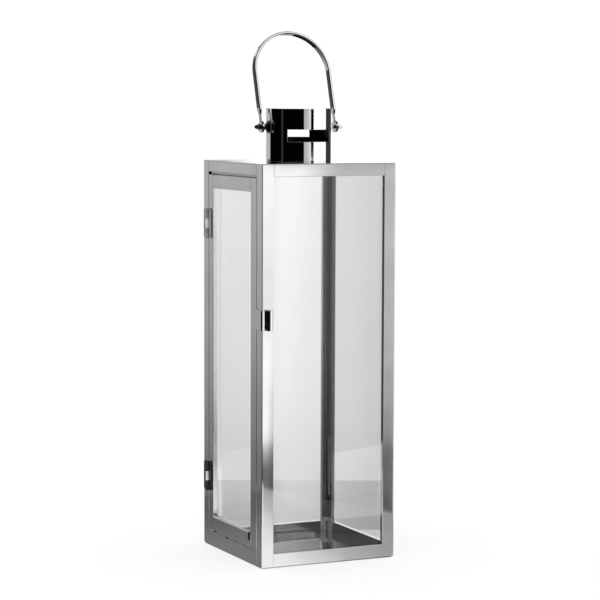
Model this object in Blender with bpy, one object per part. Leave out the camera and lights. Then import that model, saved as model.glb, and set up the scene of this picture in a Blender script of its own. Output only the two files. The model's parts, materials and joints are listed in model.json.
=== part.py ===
"""Tall square candle lantern in polished steel and glass.

Four folded-sheet corner posts and eight rails make the body. Three sides hold fixed panes, and the -X side
holds a framed glass door on two butt hinges with a spring strap that clips round the front corner post.
A vent chimney stands on the top plate, and a flat bar handle swings on two screws through its wall.

Metres, +Z up. The origin is the middle of the base plate's underside. The front faces -Y, the door -X.
"""

import math

import bmesh
import bpy
from mathutils import Matrix, Vector

mm = 0.001
GAP = 0.3 * mm  # left between pieces that touch
EDGE = 0.25 * mm  # bevel on glass and small pressed parts

# Body
BODY_W = 160 * mm  # across the frame, in X and in Y
BODY_H = 435 * mm  # frame with its top plate
PLINTH = 1.5 * mm  # how far the base plate stands out under the frame
SHEET = 1.0 * mm
FACE_W = 14 * mm  # seen width of posts and rails
HEM = 5 * mm  # depth of the folded return at a window's edge
BEND_R = 1.0 * mm
CORNER_R = 1.5 * mm
BASE_T = 2.0 * mm
TRAY_TOP = 4.8 * mm  # the level that a candle stands on
TOP_T = 1.2 * mm
SILL_H = 16 * mm
LINTEL_H = 12.5 * mm  # from the body's top to the lintel's lower edge
DOOR_STOP_H = 5 * mm  # the lintel's inner lip, which the closed door rests against

# Panes and the clips that hold them
PANE_T = 2.5 * mm
PANE_LAP = 5 * mm  # how far a pane reaches behind the frame
CLIP_T = 0.8 * mm
CLIP_H = 14.5 * mm
LOW_CLIP_H = 9 * mm  # in front and at the top, where the rails hide the clips
CLIP_ACROSS_X = 9 * mm
CLIP_ACROSS_Y = 13 * mm
CLIP_SLOT = 1.2 * mm
CLIP_BRIDGE = 3.5 * mm  # the metal that joins a corner clip's two leaves

# Door
DOOR_SIDE_GAP = 1.0 * mm
DOOR_TOP_GAP = 3.2 * mm
DOOR_BOTTOM_GAP = 1.5 * mm
DOOR_BAR_W = 15 * mm
HINGE_BAR_W = 11.5 * mm  # the stile on the hinge side is narrower
DOOR_CLIP_W = 4 * mm
DOOR_CLIP_Y = 46.5 * mm
DOOR_CLIP_LAP = 3.5 * mm
DOOR_CLIP_LONG_LAP = 10.5 * mm  # the lower clip on the latch side shows above the rail
DOOR_CLIP_FOOT = 2.8 * mm  # from the door's edge to the clip's foot

# Hinges and latch
HINGE_H = 32 * mm
HINGE_HEIGHTS = {"lower": 80 * mm, "upper": 366 * mm}
LEAF_T = 1.0 * mm
FRAME_LEAF_W = 12.5 * mm
DOOR_LEAF_W = 8.5 * mm
LEAF_EDGE = 0.15 * mm
LEAF_CLEAR = 0.1 * mm  # more room between a leaf and the other leaf's knuckles
INSET = 0.02 * mm  # keeps the tongues' faces off the leaf's own planes
KNUCKLE_R = 1.8 * mm
PIN_R = 0.9 * mm
PIN_HEAD_R = 1.5 * mm
PIN_HEAD_H = 0.7 * mm
LATCH_Z = 269.5 * mm
LATCH_H = 22 * mm
LATCH_T = 1.0 * mm
LATCH_CURL_R = 3.0 * mm  # to the middle of the sheet
LATCH_LAP = 3 * mm  # how far the strap reaches over the door's latch stile
STUD_R = 1.1 * mm
STUD_H = 0.8 * mm
STUD_Y = 14 * mm

# Chimney and handle
CHIMNEY_R = 36 * mm
CHIMNEY_H = 58.5 * mm
CHIMNEY_EDGE = 0.8 * mm
VENT_LOW = 21.8 * mm  # above the top plate
VENT_BACK_LOW = 26.3 * mm  # the back vent is less tall
VENT_HIGH = 35.3 * mm
VENT_HALF_ANGLE = math.radians(45)
PIVOT_RISE = 38 * mm  # handle screws above the top plate
HANDLE_HALF_W = 46.5 * mm  # to the outer face of the bar
HANDLE_LEG = 62.5 * mm  # from the screws to the start of the bow
HANDLE_LEAN = math.radians(16.5)
BAR_W = 8 * mm
BAR_T = 3 * mm
NECK_W = 4.5 * mm
NECK_T = 2.0 * mm
NECK_LOW = 12 * mm
NECK_HIGH = 21 * mm
EYE_R = 6.5 * mm
EYE_T = 2.6 * mm
EYE_EDGE = 0.4 * mm
SCREW_R = 1.5 * mm
SCREW_PROUD = 4 * mm  # past the handle's outer face, inside the cap nut
HEAD_R = 2.8 * mm
HEAD_H = 2.0 * mm
BOSS_R = 7 * mm
BOSS_TIP_R = 3.2 * mm
BOSS_EDGE = 1.3 * mm  # height of the boss's rim over the chimney wall
BOSS_H = 3.8 * mm
NUT_R = 3.2 * mm
CAP_NUT_FLAT = 2.4 * mm  # height of the cap nut's straight part
CAP_NUT_H = 6.6 * mm
DOME_R = 2.9 * mm

# Levels and planes that follow from the above
HALF = BODY_W / 2
BODY_TOP = PLINTH + BODY_H
FRAME_TOP = BODY_TOP - TOP_T - GAP
WINDOW_HALF = HALF - FACE_W
WINDOW_HIGH = BODY_TOP - FACE_W
FLOOR = BASE_T + GAP
PANE_OUT = HALF - HEM - GAP
PANE_IN = PANE_OUT - PANE_T
DOOR_HALF = WINDOW_HALF - DOOR_SIDE_GAP
DOOR_LOW = PLINTH + SILL_H + DOOR_BOTTOM_GAP
DOOR_HIGH = BODY_TOP - LINTEL_H - DOOR_TOP_GAP
DOOR_EYE_NEAR = DOOR_HALF - DOOR_BAR_W  # the door's window reaches from -DOOR_EYE_NEAR to DOOR_EYE_FAR in Y
DOOR_EYE_FAR = DOOR_HALF - HINGE_BAR_W
HINGE_X = -HALF - GAP - KNUCKLE_R
HINGE_Y = WINDOW_HALF - DOOR_SIDE_GAP / 2
PIVOT_Z = BODY_TOP + PIVOT_RISE

X = Vector((1, 0, 0))
Y = Vector((0, 1, 0))
Z = Vector((0, 0, 1))


# ---------------------------------------------------------------- helpers


def clear_scene():
    for obj in list(bpy.data.objects):
        bpy.data.objects.remove(obj, do_unlink=True)


def material(name, colour, roughness, metallic=0.0, transmission=0.0):
    mat = bpy.data.materials.new(name)
    mat.use_nodes = True
    shader = mat.node_tree.nodes["Principled BSDF"]
    shader.inputs["Base Color"].default_value = (*colour, 1)
    shader.inputs["Roughness"].default_value = roughness
    shader.inputs["Metallic"].default_value = metallic
    shader.inputs["Transmission Weight"].default_value = transmission
    return mat


def add_object(name, bm, mat=None, smooth=None, parent=None):
    """Puts the bmesh in the scene as one object. Edges sharper than smooth, in degrees, stay sharp."""
    bmesh.ops.recalc_face_normals(bm, faces=bm.faces)
    mesh = bpy.data.meshes.new(name)
    bm.to_mesh(mesh)
    bm.free()
    if smooth is not None:
        mesh.shade_smooth()
        mesh.set_sharp_from_angle(angle=math.radians(smooth))
    obj = bpy.data.objects.new(name, mesh)
    bpy.context.collection.objects.link(obj)
    if mat is not None:
        mesh.materials.append(mat)
    if parent is not None:
        obj.parent = parent
        obj.matrix_parent_inverse = parent.matrix_world.inverted()
    return obj


def pivot(name, location):
    """An empty on a joint's axis, which the moving pieces hang from."""
    empty = bpy.data.objects.new(name, None)
    empty.location = location
    empty.matrix_world = Matrix.Translation(location)
    bpy.context.collection.objects.link(empty)
    return empty


def shape_with(obj, tool, operation):
    """Boolean of obj with a hidden tool object."""
    tool.hide_render = True
    tool.display_type = "WIRE"
    mod = obj.modifiers.new(operation.title(), "BOOLEAN")
    mod.operation = operation
    mod.solver = "EXACT"
    mod.object = tool


def arc(centre, radius, start, end, steps):
    """Points on an arc in the plane, angles in degrees."""
    angles = (math.radians(start + (end - start) * i / steps) for i in range(steps + 1))
    return [(centre[0] + radius * math.cos(a), centre[1] + radius * math.sin(a)) for a in angles]


def rounded(points, radii, steps=4):
    """The polygon with the corners named in radii, {index: radius}, turned into arcs."""
    out = []
    for i, p in enumerate(points):
        here = Vector(p)
        if i not in radii:
            out.append(here)
            continue
        before = (Vector(points[i - 1]) - here).normalized()
        after = (Vector(points[(i + 1) % len(points)]) - here).normalized()
        half = before.angle(after) / 2
        reach = radii[i] / math.tan(half)
        centre = here + (before + after).normalized() * radii[i] / math.sin(half)
        start = here + before * reach - centre
        turn = start.angle_signed(here + after * reach - centre)
        out += [centre + Matrix.Rotation(-turn * k / steps, 2) @ start for k in range(steps + 1)]
    return out


def prism_mesh(bm, section, origin, across, up, along):
    """Adds a closed outline, drawn in the across-up plane at origin, pushed through along."""
    near = [bm.verts.new(origin + across * p[0] + up * p[1]) for p in section]
    far = [bm.verts.new(v.co + along) for v in near]
    bm.faces.new(near)
    bm.faces.new(list(reversed(far)))
    for i in range(len(near)):
        j = (i + 1) % len(near)
        bm.faces.new((near[i], far[i], far[j], near[j]))


def prism(name, section, origin, across, up, along, mat=None, smooth=30, parent=None):
    bm = bmesh.new()
    prism_mesh(bm, section, Vector(origin), across, up, along)
    return add_object(name, bm, mat, smooth, parent)


def box(name, low, high, mat=None, bevel=0.0, parent=None):
    low, high = Vector(low), Vector(high)
    bm = bmesh.new()
    bmesh.ops.create_cube(bm, size=1)
    size = high - low
    bmesh.ops.scale(bm, vec=size, verts=bm.verts)
    bmesh.ops.translate(bm, vec=(low + high) / 2, verts=bm.verts)
    if bevel:
        bmesh.ops.bevel(bm, geom=bm.edges[:], offset=bevel, segments=2, profile=0.5, affect="EDGES")
    return add_object(name, bm, mat, 30 if bevel else None, parent)


def turned_mesh(bm, profile, origin, axis, steps, side=None):
    """Adds a solid of revolution. profile is (radius, height) from axis to axis, or a closed ring outline."""
    side = side or (Vector((0, 0, 1)) if abs(axis.z) < 0.9 else Vector((1, 0, 0)))
    closed = profile[0][0] > 0
    rings = []
    for radius, height in profile:
        centre = origin + axis * height
        if radius <= 0:
            rings.append([bm.verts.new(centre)])
            continue
        turns = (Matrix.Rotation(2 * math.pi * k / steps, 3, axis) for k in range(steps))
        rings.append([bm.verts.new(centre + turn @ side * radius) for turn in turns])
    pairs = list(zip(rings, rings[1:]))
    if closed:
        pairs.append((rings[-1], rings[0]))
    for a, b in pairs:
        for k in range(steps):
            n = (k + 1) % steps
            if len(a) == 1:
                bm.faces.new((a[0], b[n], b[k]))
            elif len(b) == 1:
                bm.faces.new((a[k], a[n], b[0]))
            else:
                bm.faces.new((a[k], a[n], b[n], b[k]))


def turned(name, profile, origin, axis, steps, mat=None, smooth=35, parent=None, side=None):
    bm = bmesh.new()
    turned_mesh(bm, profile, Vector(origin), axis, steps, side)
    return add_object(name, bm, mat, smooth, parent)


# ---------------------------------------------------------------- materials


def make_materials():
    return {
        "frame": material("polished_steel_frame", (0.62, 0.62, 0.63), 0.08, 1.0),
        "door": material("polished_steel_door", (0.60, 0.60, 0.61), 0.10, 1.0),
        "plate": material("polished_steel_plate", (0.58, 0.58, 0.59), 0.06, 1.0),
        "chimney": material("mirror_steel", (0.66, 0.66, 0.67), 0.03, 1.0),
        "handle": material("polished_bar", (0.62, 0.62, 0.63), 0.08, 1.0),
        "hardware": material("plain_steel_hardware", (0.42, 0.42, 0.43), 0.25, 1.0),
        "clips": material("dull_steel_clip", (0.50, 0.50, 0.50), 0.35, 1.0),
        "glass": material("clear_glass", (0.95, 0.97, 0.96), 0.02, 0.0, 1.0),
        "stud": material("dark_stud", (0.05, 0.05, 0.05), 0.5),
    }


# ---------------------------------------------------------------- body frame


def post_section():
    """Two flanges that meet at the corner (0, 0), each with a return at its window edge."""
    inner = FACE_W - SHEET
    points = [
        (FACE_W, HEM), (inner, HEM), (inner, SHEET), (SHEET, SHEET), (SHEET, inner),
        (HEM, inner), (HEM, FACE_W), (0, FACE_W), (0, 0), (FACE_W, 0),
    ]
    return rounded(points, {7: BEND_R, 8: CORNER_R, 9: BEND_R})


def rail_section(height):
    """A face with a return at its window edge. First number is depth from the face, second is height."""
    points = [(0, 0), (SHEET, 0), (SHEET, height - SHEET), (HEM, height - SHEET), (HEM, height), (0, height)]
    return rounded(points, {5: BEND_R})


def lintel_section(height):
    """The door side's top rail, whose return steps down behind the closed door as its stop."""
    deep = HEM + GAP + SHEET
    low = height + DOOR_STOP_H
    points = [
        (0, 0), (SHEET, 0), (SHEET, height - SHEET), (deep, height - SHEET), (deep, low),
        (deep - SHEET, low), (deep - SHEET, height), (0, height),
    ]
    return rounded(points, {3: BEND_R, 7: BEND_R})


def make_posts(mat):
    notch = box(
        "floor_clearance_cutter",
        (-HALF + SHEET + GAP / 2, -HALF + SHEET + GAP / 2, -HEM),
        (HALF - SHEET - GAP / 2, HALF - SHEET - GAP / 2, FLOOR),
    )
    corners = {"front_left": (-1, -1), "front_right": (1, -1), "back_right": (1, 1), "back_left": (-1, 1)}
    for name, (sx, sy) in corners.items():
        corner = Vector((sx * HALF, sy * HALF, PLINTH))
        post = prism(
            f"post_{name}", post_section(), corner, -X * sx, -Y * sy, Z * (FRAME_TOP - PLINTH), mat
        )
        shape_with(post, notch, "DIFFERENCE")


def make_rails(mat):
    """Top and bottom rails of the four sides. Each side is given by its outward direction."""
    sides = {"front": -Y, "back": Y, "right": X, "door": -X}
    length = 2 * (WINDOW_HALF - GAP)
    for side, out in sides.items():
        along = out.cross(Z)
        start = out * HALF - along * length / 2
        low_h = SILL_H if side == "door" else FACE_W
        high_h = (LINTEL_H if side == "door" else FACE_W) - TOP_T - GAP
        low_name = "door_sill" if side == "door" else f"rail_{side}_bottom"
        high_name = "door_lintel" if side == "door" else f"rail_{side}_top"
        high_section = lintel_section(high_h) if side == "door" else rail_section(high_h)
        prism(low_name, rail_section(low_h), start + Z * PLINTH, -out, Z, along * length, mat)
        prism(high_name, high_section, start + Z * FRAME_TOP, -out, -Z, along * length, mat)


def square_outline(half, radius):
    corners = [(-half, -half), (half, -half), (half, half), (-half, half)]
    return rounded(corners, {i: radius for i in range(4)})


def make_plates(mat):
    base_half = HALF - SHEET - GAP
    prism("base_plate", square_outline(base_half, CORNER_R), (0, 0, 0), X, Y, Z * BASE_T, mat)
    tray_half = PANE_IN - GAP
    outline = square_outline(tray_half, CORNER_R)
    tray = prism("floor_tray", outline, (0, 0, FLOOR), X, Y, Z * (TRAY_TOP - FLOOR), mat)
    hollow_half = tray_half - SHEET
    hollow = box(
        "floor_tray_cutter",
        (-hollow_half, -hollow_half, FLOOR - HEM),
        (hollow_half, hollow_half, TRAY_TOP - SHEET),
    )
    shape_with(tray, hollow, "DIFFERENCE")
    top = prism("top_plate", square_outline(HALF, CORNER_R), (0, 0, BODY_TOP - TOP_T), X, Y, Z * TOP_T, mat)
    hole_r = CHIMNEY_R - SHEET - GAP
    hole = turned(
        "chimney_hole_cutter", [(0, -HEM), (hole_r, -HEM), (hole_r, HEM), (0, HEM)], (0, 0, BODY_TOP), Z, 64
    )
    shape_with(top, hole, "DIFFERENCE")
    bevel = top.modifiers.new("Bevel", "BEVEL")
    bevel.width = 0.4 * mm
    bevel.segments = 2
    bevel.limit_method = "ANGLE"
    bevel.angle_limit = math.radians(50)


# ---------------------------------------------------------------- panes and clips


def make_panes(mat):
    """Fixed panes stand on the base plate behind the window returns."""
    half = WINDOW_HALF + PANE_LAP
    high = WINDOW_HIGH + PANE_LAP
    box("pane_front", (-half, -PANE_OUT, FLOOR), (half, -PANE_IN, high), mat, EDGE)
    box("pane_back", (-half, PANE_IN, FLOOR), (half, PANE_OUT, high), mat, EDGE)
    box("pane_right", (PANE_IN, -half, FLOOR), (PANE_OUT, half, high), mat, EDGE)


def leaf_outline(width, height):
    """One clip leaf, from the bend at 0 to its free edge, with its upper free corner rounded."""
    radius = 0.55 * width
    return rounded([(0, 0), (width, 0), (width, height), (0, height)], {2: radius}, 6)


def make_clip(name, mat, sx, sy, base, rise, height, both):
    """A clip on the inner side of the panes at one corner. rise is +1 upwards, -1 downwards from base."""
    inner = PANE_IN - GAP
    start = Vector((sx * inner, sy * inner, base))
    up = Z * rise
    bm = bmesh.new()
    prism_mesh(bm, leaf_outline(CLIP_ACROSS_X, height), start, -X * sx, up, -Y * sy * CLIP_T)
    clip = add_object(name, bm, mat, 30)
    if not both:
        return
    other = prism(
        f"{name}_second_leaf", leaf_outline(CLIP_ACROSS_Y, height), start, -Y * sy, up, -X * sx * CLIP_T
    )
    shape_with(clip, other, "UNION")
    reach = CLIP_T + CLIP_SLOT
    low = start - up * HEM + X * sx * HEM + Y * sy * HEM
    high = start - X * sx * reach - Y * sy * reach + up * (height - CLIP_BRIDGE)
    corner = [Vector(min(a, b) for a, b in zip(low, high)), Vector(max(a, b) for a, b in zip(low, high))]
    shape_with(clip, box(f"{name}_slot_cutter", *corner), "DIFFERENCE")


def make_clips(mat):
    for depth, sy, height in (("front", -1, LOW_CLIP_H), ("back", 1, CLIP_H)):
        for side, sx in (("left", -1), ("right", 1)):
            both = side == "right"
            make_clip(f"clip_{depth}_{side}_bottom", mat, sx, sy, TRAY_TOP + GAP, 1, height, both)
            make_clip(f"clip_{depth}_{side}_top", mat, sx, sy, FRAME_TOP, -1, LOW_CLIP_H, both)


# ---------------------------------------------------------------- door


def channel_section(width):
    """A face with a return at both edges, first number across, second depth."""
    points = [
        (0, 0), (width, 0), (width, HEM), (width - SHEET, HEM),
        (width - SHEET, SHEET), (SHEET, SHEET), (SHEET, HEM), (0, HEM),
    ]
    return rounded(points, {0: BEND_R, 1: BEND_R})


def make_door_frame(mat, hinge):
    height = DOOR_HIGH - DOOR_LOW
    for name, sy, width in (("door_stile_hinge", 1, HINGE_BAR_W), ("door_stile_latch", -1, DOOR_BAR_W)):
        start = (-HALF, sy * DOOR_HALF, DOOR_LOW)
        prism(name, channel_section(width), start, -Y * sy, X, Z * height, mat, parent=hinge)
    length = DOOR_EYE_NEAR + DOOR_EYE_FAR - 2 * GAP
    for name, level, up in (("door_rail_bottom", DOOR_LOW, 1), ("door_rail_top", DOOR_HIGH, -1)):
        start = (-HALF, GAP - DOOR_EYE_NEAR, level)
        prism(name, channel_section(DOOR_BAR_W), start, Z * up, X, Y * length, mat, parent=hinge)


def make_door_glass(mat, hinge):
    low = (-PANE_OUT, -DOOR_EYE_NEAR - PANE_LAP, DOOR_LOW + DOOR_BAR_W - PANE_LAP)
    high = (-PANE_IN, DOOR_EYE_FAR + PANE_LAP, DOOR_HIGH - DOOR_BAR_W + PANE_LAP)
    box("door_glass", low, high, mat, EDGE, hinge)


def make_door_clips(mat, hinge):
    """Stepped tabs on the door's rails, each with a rounded tongue over the pane's inner side."""
    step = PANE_LAP + GAP  # from the rail's window edge down to where the tab steps over the pane
    back = PANE_OUT - PANE_IN + 2 * GAP + CLIP_T
    riser = DOOR_BAR_W - step - CLIP_T
    places = {
        "upper_hinge": (1, DOOR_HIGH, -1, DOOR_CLIP_LAP),
        "upper_latch": (-1, DOOR_HIGH, -1, DOOR_CLIP_LAP),
        "lower_hinge": (1, DOOR_LOW, 1, DOOR_CLIP_LAP),
        "lower_latch": (-1, DOOR_LOW, 1, DOOR_CLIP_LONG_LAP),
    }
    for name, (sy, edge, up, lap) in places.items():
        tip = riser + CLIP_T + lap
        section = [
            (DOOR_CLIP_FOOT, 0), (riser + CLIP_T, 0), (riser + CLIP_T, back - CLIP_T), (tip, back - CLIP_T),
            (tip, back), (riser, back), (riser, CLIP_T), (DOOR_CLIP_FOOT, CLIP_T),
        ]
        start = (-HALF + HEM + GAP, sy * DOOR_CLIP_Y - DOOR_CLIP_W / 2, edge)
        prism(f"door_clip_{name}", section, start, Z * up, X, Y * DOOR_CLIP_W, mat, parent=hinge)


def make_latch(mat, hinge):
    """A sheet strap on the latch stile that wraps the front corner post and ends in a finger curl."""
    plane = HALF + GAP + LATCH_T / 2
    bend = CORNER_R + GAP + LATCH_T
    curl = (-HALF + bend + 1.5 * LATCH_T, -plane - LATCH_CURL_R)
    middle = [(-plane, -DOOR_EYE_NEAR - LATCH_LAP)]
    middle += arc((-plane + bend, -plane + bend), bend, 180, 270, 5)
    middle += arc(curl, LATCH_CURL_R, 90, -200, 16)
    left, right = [], []
    for i, point in enumerate(middle):
        before = Vector(middle[max(i - 1, 0)])
        after = Vector(middle[min(i + 1, len(middle) - 1)])
        tangent = (after - before).normalized()
        normal = Vector((-tangent.y, tangent.x)) * LATCH_T / 2
        left.append(Vector(point) + normal)
        right.append(Vector(point) - normal)
    section = left + right[::-1]
    prism("latch_strap", section, (0, 0, LATCH_Z - LATCH_H / 2), X, Y, Z * LATCH_H, mat, 40, hinge)


# ---------------------------------------------------------------- hinges


def make_leaf(name, mat, sy, width, level, knuckles, parent=None):
    """One hinge leaf on the outer faces, with its share of the knuckles. sy is +1 on the post's side."""
    third = HINGE_H / 3
    low = level - HINGE_H / 2
    clear = KNUCKLE_R + GAP + LEAF_CLEAR
    face = HINGE_X + KNUCKLE_R
    near, far = HINGE_Y + sy * clear, HINGE_Y + sy * width
    corner = (face - LEAF_T, min(near, far), low)
    leaf = box(name, corner, (face, max(near, far), low + HINGE_H), mat, LEAF_EDGE, parent)
    knuckle_bm = bmesh.new()
    tongue_bm = bmesh.new()
    reach = clear + LEAF_T
    tongue = [(INSET - LEAF_T, 0), (-INSET, 0), (-INSET, reach), (INSET - LEAF_T, reach)]
    for k in knuckles:
        foot = low + k * third + (GAP / 2 if k > 0 else 0)
        tall = third - GAP / 2 - (GAP / 2 if k == 1 else 0)
        ring = [(0, 0), (KNUCKLE_R, 0), (KNUCKLE_R, tall), (0, tall)]
        turned_mesh(knuckle_bm, ring, Vector((HINGE_X, HINGE_Y, foot)), Z, 20)
        start = Vector((face, HINGE_Y, foot + INSET))
        prism_mesh(tongue_bm, tongue, start, X, Y * sy, Z * (tall - 2 * INSET))
    shape_with(leaf, add_object(f"{name}_knuckles", knuckle_bm), "UNION")
    shape_with(leaf, add_object(f"{name}_tongues", tongue_bm), "UNION")
    bore_r = PIN_R + GAP
    bore = [(0, -HEM), (bore_r, -HEM), (bore_r, HINGE_H + HEM), (0, HINGE_H + HEM)]
    shape_with(leaf, turned(f"{name}_bore_cutter", bore, (HINGE_X, HINGE_Y, low), Z, 16), "DIFFERENCE")


def make_hinges(mat, hinge):
    for name, level in HINGE_HEIGHTS.items():
        make_leaf(f"hinge_{name}_frame_leaf", mat, 1, FRAME_LEAF_W, level, (0, 2))
        make_leaf(f"hinge_{name}_door_leaf", mat, -1, DOOR_LEAF_W, level, (1,), hinge)
        reach = HINGE_H / 2 + GAP
        tip = reach + PIN_HEAD_H
        half_pin = [(PIN_R, reach), (PIN_HEAD_R, reach)]
        half_pin += [(PIN_HEAD_R, (reach + tip) / 2), (0.6 * PIN_HEAD_R, tip)]
        profile = [(0, -tip)] + [(r, -h) for r, h in half_pin[::-1]] + half_pin + [(0, tip)]
        turned(f"hinge_{name}_pin", profile, (HINGE_X, HINGE_Y, level), Z, 16, mat)


def make_stop_stud(mat):
    """A small dark stud on the sill's upper edge, under the door's bottom rail."""
    profile = [(0, 0), (STUD_R, 0), (STUD_R, 0.6 * STUD_H), (0.6 * STUD_R, STUD_H), (0, STUD_H)]
    place = (-HALF - GAP, STUD_Y, DOOR_LOW - DOOR_BOTTOM_GAP)
    turned("sill_stud", profile, place, -X, 14, mat)


# ---------------------------------------------------------------- chimney


def make_chimney(mat):
    """A deep cup, closed at the top, with a wide vent slot in front and one behind."""
    foot = BODY_TOP + GAP
    inner = CHIMNEY_R - SHEET
    high = CHIMNEY_H - GAP
    edge = arc((CHIMNEY_R - CHIMNEY_EDGE, high - CHIMNEY_EDGE), CHIMNEY_EDGE, 0, 90, 4)
    profile = [(0, high - SHEET), (inner, high - SHEET), (inner, 0), (CHIMNEY_R, 0)] + edge + [(0, high)]
    chimney = turned("chimney", profile, (0, 0, foot), Z, 72, mat, 30)
    half = math.degrees(VENT_HALF_ANGLE)
    wedge = [(0, 0.3 * CHIMNEY_R)] + arc((0, 0), 2 * CHIMNEY_R, 90 + half, 90 - half, 12)
    for name, way, low in (("front", -Y, VENT_LOW), ("back", Y, VENT_BACK_LOW)):
        start = (0, 0, BODY_TOP + low)
        cutter = prism(f"vent_{name}_cutter", wedge, start, X, way, Z * (VENT_HIGH - low))
        shape_with(chimney, cutter, "DIFFERENCE")
    hole_r = SCREW_R + GAP
    reach = 1.2 * CHIMNEY_R
    hole = [(0, -reach), (hole_r, -reach), (hole_r, reach), (0, reach)]
    shape_with(chimney, turned("screw_hole_cutter", hole, (0, 0, PIVOT_Z), X, 16), "DIFFERENCE")


def make_pivot(name, mat, way):
    """The fasteners of one handle pivot, from inside the chimney outwards along way."""
    centre = Vector((0, 0, PIVOT_Z))
    hole_r = SCREW_R + GAP
    inner_wall = CHIMNEY_R - SHEET
    boss_rim = CHIMNEY_R + BOSS_EDGE
    boss_out = CHIMNEY_R + BOSS_H
    profile = [(hole_r, inner_wall), (BOSS_R, inner_wall), (BOSS_R, boss_rim), (BOSS_TIP_R, boss_out)]
    boss = turned(f"pivot_boss_{name}", profile + [(hole_r, boss_out)], centre, way, 24, mat)
    reach = 2 * BOSS_R
    wall = [(0, -reach), (CHIMNEY_R + GAP, -reach), (CHIMNEY_R + GAP, reach), (0, reach)]
    shape_with(boss, turned(f"pivot_boss_{name}_saddle_cutter", wall, centre, Z, 72), "DIFFERENCE")

    head_out = inner_wall - 2 * GAP
    head_in = head_out - HEAD_H
    tip = HANDLE_HALF_W + SCREW_PROUD
    head = [(0, head_in), (0.65 * HEAD_R, head_in), (HEAD_R, head_in + 0.4 * HEAD_H), (HEAD_R, head_out)]
    shank = [(SCREW_R, head_out), (SCREW_R, tip), (0, tip)]
    turned(f"pivot_screw_{name}", head + shank, centre, way, 16, mat)

    near, far = boss_out + GAP, HANDLE_HALF_W - BAR_T - GAP
    nut = [(hole_r, near), (NUT_R, near), (NUT_R, far), (hole_r, far)]
    turned(f"pivot_nut_{name}", nut, centre, way, 6, mat, None)

    start = HANDLE_HALF_W + GAP
    blind = tip + GAP
    shoulder = start + CAP_NUT_FLAT
    cap = [(0, blind), (hole_r, blind), (hole_r, start), (NUT_R, start), (NUT_R, shoulder)]
    cap += arc((0, start + NUT_R), DOME_R, 0, 72, 4) + [(0, start + CAP_NUT_H)]
    turned(f"cap_nut_{name}", cap, centre, way, 18, mat)


# ---------------------------------------------------------------- handle


def bar_size(distance):
    """Width and thickness of the bar at a distance along it from the nearer screw."""
    blend = min(max((distance - NECK_LOW) / (NECK_HIGH - NECK_LOW), 0), 1)
    blend = blend * blend * (3 - 2 * blend)
    return NECK_W + (BAR_W - NECK_W) * blend, NECK_T + (BAR_T - NECK_T) * blend


def bar_stations():
    """Centre, inward normal and distance to the nearer screw, along the upright handle's own XZ plane."""
    radius = HANDLE_HALF_W - BAR_T / 2
    rises = [0, 0.5 * NECK_LOW]
    rises += [NECK_LOW + (NECK_HIGH - NECK_LOW) * k / 4 for k in range(5)]
    rises += [0.5 * (NECK_HIGH + HANDLE_LEG)]
    left = [(Vector((-radius, 0, s)), X, s) for s in rises]
    bow = []
    steps = 36
    for k in range(steps + 1):
        angle = math.pi * (1 - k / steps)
        out = Vector((math.cos(angle), 0, math.sin(angle)))
        bow.append((Z * HANDLE_LEG + out * radius, -out, HANDLE_LEG + radius))
    right = [(Vector((radius, 0, s)), -X, s) for s in reversed(rises)]
    return left + bow + right


def make_handle(mat, swing):
    lean = Matrix.Rotation(-HANDLE_LEAN, 3, "X")
    origin = Vector((0, 0, PIVOT_Z))
    bm = bmesh.new()
    rings = []
    for centre, inward, distance in bar_stations():
        width, thick = bar_size(distance)
        w, t = width / 2, thick / 2
        outline = rounded([(-w, -t), (w, -t), (w, t), (-w, t)], {i: 0.3 * thick for i in range(4)}, 2)
        ring = [origin + lean @ (centre + Y * p[0] + inward * p[1]) for p in outline]
        rings.append([bm.verts.new(co) for co in ring])
    for a, b in zip(rings, rings[1:]):
        for i in range(len(a)):
            j = (i + 1) % len(a)
            bm.faces.new((a[i], a[j], b[j], b[i]))
    bm.faces.new(rings[0])
    bm.faces.new(rings[-1])
    handle = add_object("carry_handle", bm, mat, 35, swing)
    eyes = bmesh.new()
    holes = bmesh.new()
    middle = HANDLE_HALF_W - BAR_T / 2
    low, high = middle - EYE_T / 2, middle + EYE_T / 2
    rim_r = EYE_R - EYE_EDGE
    disc = [(0, low), (rim_r, low), (EYE_R, low + EYE_EDGE)]
    disc += [(EYE_R, high - EYE_EDGE), (rim_r, high), (0, high)]
    hole_r = SCREW_R + GAP
    hole = [(0, low - HEM), (hole_r, low - HEM), (hole_r, high + HEM), (0, high + HEM)]
    for way in (-X, X):
        turned_mesh(eyes, disc, origin, way, 28)
        turned_mesh(holes, hole, origin, way, 16)
    shape_with(handle, add_object("handle_eyes", eyes), "UNION")
    shape_with(handle, add_object("handle_holes_cutter", holes), "DIFFERENCE")


# ---------------------------------------------------------------- build


def main():
    clear_scene()
    mats = make_materials()
    door_hinge = pivot("door_hinge_axis", (HINGE_X, HINGE_Y, 0))
    swing = pivot("handle_swing_axis", (0, 0, PIVOT_Z))
    make_plates(mats["plate"])
    make_posts(mats["frame"])
    make_rails(mats["frame"])
    make_panes(mats["glass"])
    make_clips(mats["clips"])
    make_stop_stud(mats["stud"])
    make_door_frame(mats["door"], door_hinge)
    make_door_glass(mats["glass"], door_hinge)
    make_door_clips(mats["clips"], door_hinge)
    make_latch(mats["handle"], door_hinge)
    make_hinges(mats["hardware"], door_hinge)
    make_chimney(mats["chimney"])
    for name, way in (("left", -X), ("right", X)):
        make_pivot(name, mats["hardware"], way)
    make_handle(mats["handle"], swing)


main()
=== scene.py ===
"""The looks of a polished steel candle lantern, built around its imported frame.

Metres, +Z up, the front to -Y and the door to -X. Each piece takes its place from the frame's own nodes.
"""

import json
import math

import bmesh
import bpy
from mathutils import Matrix, Vector


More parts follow.
